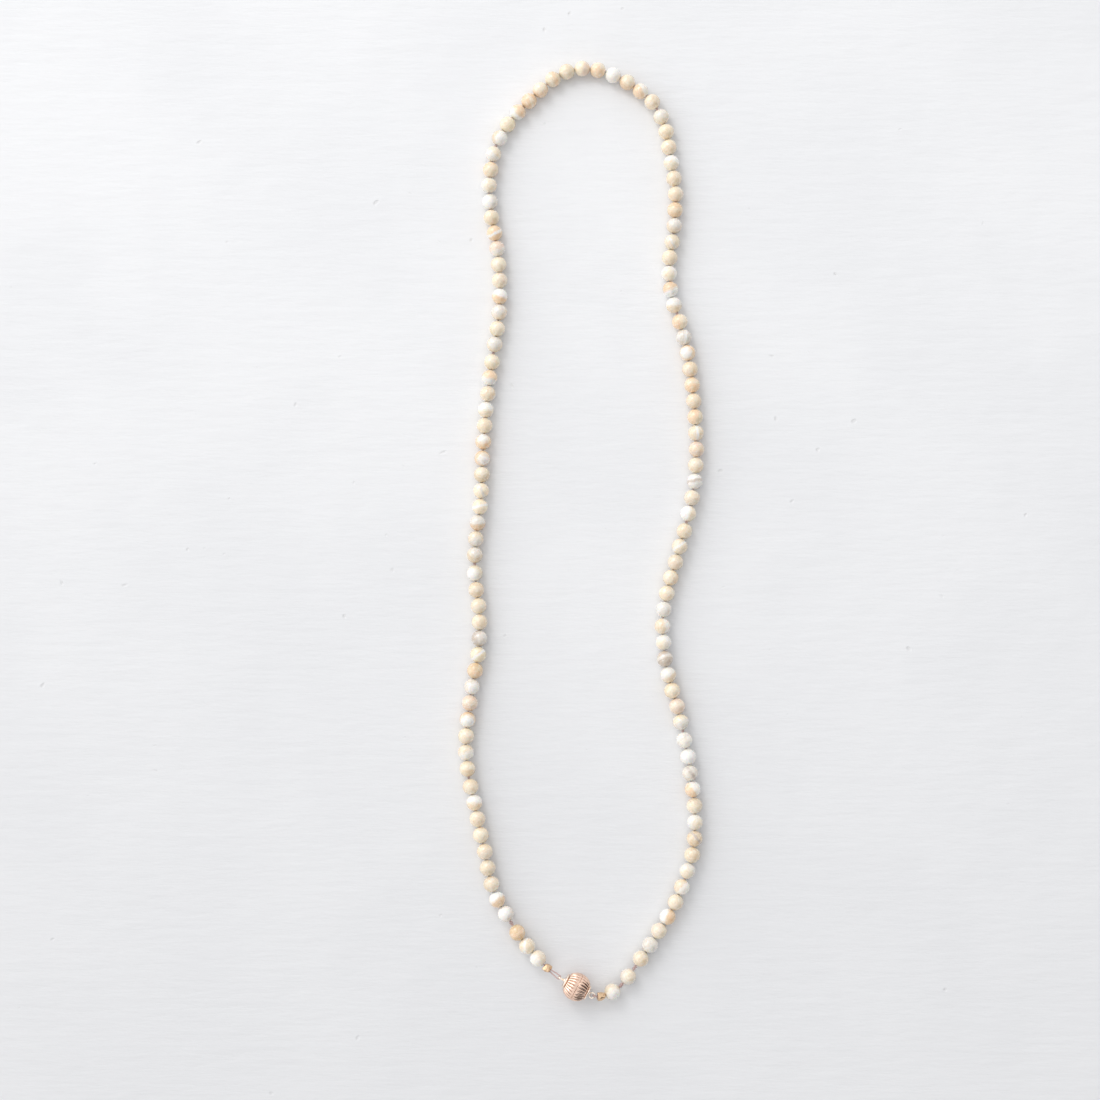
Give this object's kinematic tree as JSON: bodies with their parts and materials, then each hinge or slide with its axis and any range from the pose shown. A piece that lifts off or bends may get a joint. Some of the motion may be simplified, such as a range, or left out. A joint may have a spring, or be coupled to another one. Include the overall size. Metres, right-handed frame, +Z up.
{
  "type": "bead necklace",
  "caption": "Long knotted strand of round mother-of-pearl shell beads, closed into a loop by a fluted rose gold magnetic ball clasp.",
  "frame": {"origin": "centre of the necklace's bounding box, on the surface it lies on", "axes": "+Z up from the surface; +Y away from the clasp, along the loop's long side; +X to the right with the clasp nearest"},
  "size_m": [0.0618, 0.2358, 0.0069],
  "materials": {
    "nacre": "polished",
    "silk": "twisted silk",
    "crimp_gold": "polished, crushed",
    "rose_gold_shell": "fluted, bright",
    "rose_gold_polished": "mirror polished",
    "magnet_cup_steel": "satin",
    "magnet": "nickel plated"
  },
  "bodies": {
    "link_01": {"beads_01": "nacre", "beads_02": "nacre", "thread_01": "silk", "crimp_left": "crimp_gold", "thread_loop_left": "silk"},
    "link_02": {"beads_03": "nacre", "beads_04": "nacre", "thread_02": "silk"},
    "link_03": {"beads_05": "nacre", "beads_06": "nacre", "thread_03": "silk"},
    "link_04": {"beads_07": "nacre", "beads_08": "nacre", "thread_04": "silk"},
    "link_05": {"beads_09": "nacre", "beads_10": "nacre", "thread_05": "silk"},
    "link_06": {"beads_11": "nacre", "beads_12": "nacre", "thread_06": "silk"},
    "link_07": {"beads_13": "nacre", "beads_14": "nacre", "thread_07": "silk"},
    "link_08": {"beads_15": "nacre", "beads_16": "nacre", "thread_08": "silk"},
    "link_09": {"beads_17": "nacre", "beads_18": "nacre", "thread_09": "silk"},
    "link_10": {"beads_19": "nacre", "beads_20": "nacre", "thread_10": "silk"},
    "link_11": {"beads_21": "nacre", "beads_22": "nacre", "thread_11": "silk"},
    "link_12": {"beads_23": "nacre", "beads_24": "nacre", "thread_12": "silk"},
    "link_13": {"beads_25": "nacre", "beads_26": "nacre", "thread_13": "silk"},
    "link_14": {"beads_27": "nacre", "beads_28": "nacre", "thread_14": "silk"},
    "link_15": {"beads_29": "nacre", "beads_30": "nacre", "thread_15": "silk", "crimp_right": "crimp_gold", "thread_loop_right": "silk"},
    "clasp_left": {"clasp_shell_left": "rose_gold_shell", "clasp_end_cap_left": "rose_gold_polished", "clasp_ring_left": "rose_gold_polished", "magnet_cup_left": "magnet_cup_steel", "magnet_left": "magnet"},
    "clasp_right": {"clasp_shell_right": "rose_gold_shell", "clasp_end_cap_right": "rose_gold_polished", "clasp_ring_right": "rose_gold_polished", "magnet_cup_right": "magnet_cup_steel", "magnet_right": "magnet"}
  },
  "joints": [
    {"name": "left_bend_008", "type": "hinge", "parent": "link_02", "child": "link_01", "pos_m": [-0.02462, -0.07929, 0.002], "axis": [0, 0, -1], "range_deg": [0, 28]},
    {"name": "left_lift_016", "type": "hinge", "parent": "link_03", "child": "link_02", "pos_m": [-0.02833, -0.04669, 0.002], "axis": [-0.9922, 0.1244, 0], "range_deg": [0, 20]},
    {"name": "left_bend_024", "type": "hinge", "parent": "link_04", "child": "link_03", "pos_m": [-0.02664, -0.01437, 0.002], "axis": [0, 0, -1], "range_deg": [0, 28]},
    {"name": "left_bend_032", "type": "hinge", "parent": "link_05", "child": "link_04", "pos_m": [-0.02489, 0.01862, 0.002], "axis": [0, 0, -1], "range_deg": [0, 28]},
    {"name": "left_bend_040", "type": "hinge", "parent": "link_06", "child": "link_05", "pos_m": [-0.02099, 0.05146, 0.002], "axis": [0, 0, -1], "range_deg": [0, 28]},
    {"name": "left_lift_048", "type": "hinge", "parent": "link_07", "child": "link_06", "pos_m": [-0.02344, 0.08389, 0.002], "axis": [-0.9995, -0.0307, 0], "range_deg": [0, 20]},
    {"name": "left_bend_056", "type": "hinge", "parent": "link_08", "child": "link_07", "pos_m": [-0.00886, 0.11198, 0.002], "axis": [0, 0, -1], "range_deg": [0, 28]},
    {"name": "right_bend_064", "type": "hinge", "parent": "link_08", "child": "link_09", "pos_m": [0.01927, 0.1057, 0.002], "axis": [0, 0, 1], "range_deg": [0, 28]},
    {"name": "right_lift_072", "type": "hinge", "parent": "link_09", "child": "link_10", "pos_m": [0.02315, 0.07355, 0.002], "axis": [-0.9846, 0.175, 0], "range_deg": [0, 20]},
    {"name": "right_bend_080", "type": "hinge", "parent": "link_10", "child": "link_11", "pos_m": [0.02702, 0.04118, 0.002], "axis": [0, 0, 1], "range_deg": [0, 28]},
    {"name": "right_bend_088", "type": "hinge", "parent": "link_11", "child": "link_12", "pos_m": [0.02793, 0.00866, 0.002], "axis": [0, 0, 1], "range_deg": [0, 28]},
    {"name": "right_bend_096", "type": "hinge", "parent": "link_12", "child": "link_13", "pos_m": [0.02023, -0.02345, 0.002], "axis": [0, 0, 1], "range_deg": [0, 28]},
    {"name": "right_bend_104", "type": "hinge", "parent": "link_13", "child": "link_14", "pos_m": [0.02585, -0.05588, 0.002], "axis": [0, 0, 1], "range_deg": [0, 28]},
    {"name": "right_lift_112", "type": "hinge", "parent": "link_14", "child": "link_15", "pos_m": [0.02542, -0.08807, 0.002], "axis": [-0.9435, 0.3315, 0], "range_deg": [0, 20]},
    {"name": "left_clasp_twist", "type": "hinge", "parent": "link_01", "child": "clasp_left", "pos_m": [-0.00554, -0.112, 0.00345], "axis": [-0.8788, 0.4772, 0], "range_deg": [-15, 15]},
    {"name": "right_clasp_twist", "type": "hinge", "parent": "link_15", "child": "clasp_right", "pos_m": [0.00254, -0.11639, 0.00345], "axis": [0.8788, -0.4772, 0], "range_deg": [-15, 15]}
  ]
}
